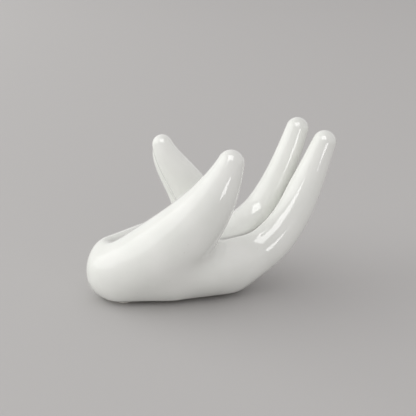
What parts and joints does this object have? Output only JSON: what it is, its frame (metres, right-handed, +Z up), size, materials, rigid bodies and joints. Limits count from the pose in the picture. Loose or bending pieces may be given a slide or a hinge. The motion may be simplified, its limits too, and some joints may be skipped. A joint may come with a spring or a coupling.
{
  "type": "ceramic hand sculpture",
  "caption": "Glossy white ceramic open hand lying palm up on its back, a free-standing ornament with slender luted digits and a shallow palm for small things.",
  "frame": {"origin": "bottom centre of the bounding box, on the surface that the felt pads stand on", "axes": "+X from the heel of the hand to the fingers, the thumb on the -Y side, +Z up"},
  "size_m": [0.17, 0.1206, 0.1108],
  "materials": {
    "glaze": "glossy white glaze",
    "felt": "pressed felt"
  },
  "bodies": {
    "root": {"palm_body": "glaze", "thumb": "glaze", "index_finger": "glaze", "middle_finger": "glaze", "ring_finger": "glaze", "little_finger": "glaze", "foot_pad_1": "felt", "foot_pad_2": "felt", "foot_pad_3": "felt", "foot_pad_4": "felt"}
  },
  "joints": []
}
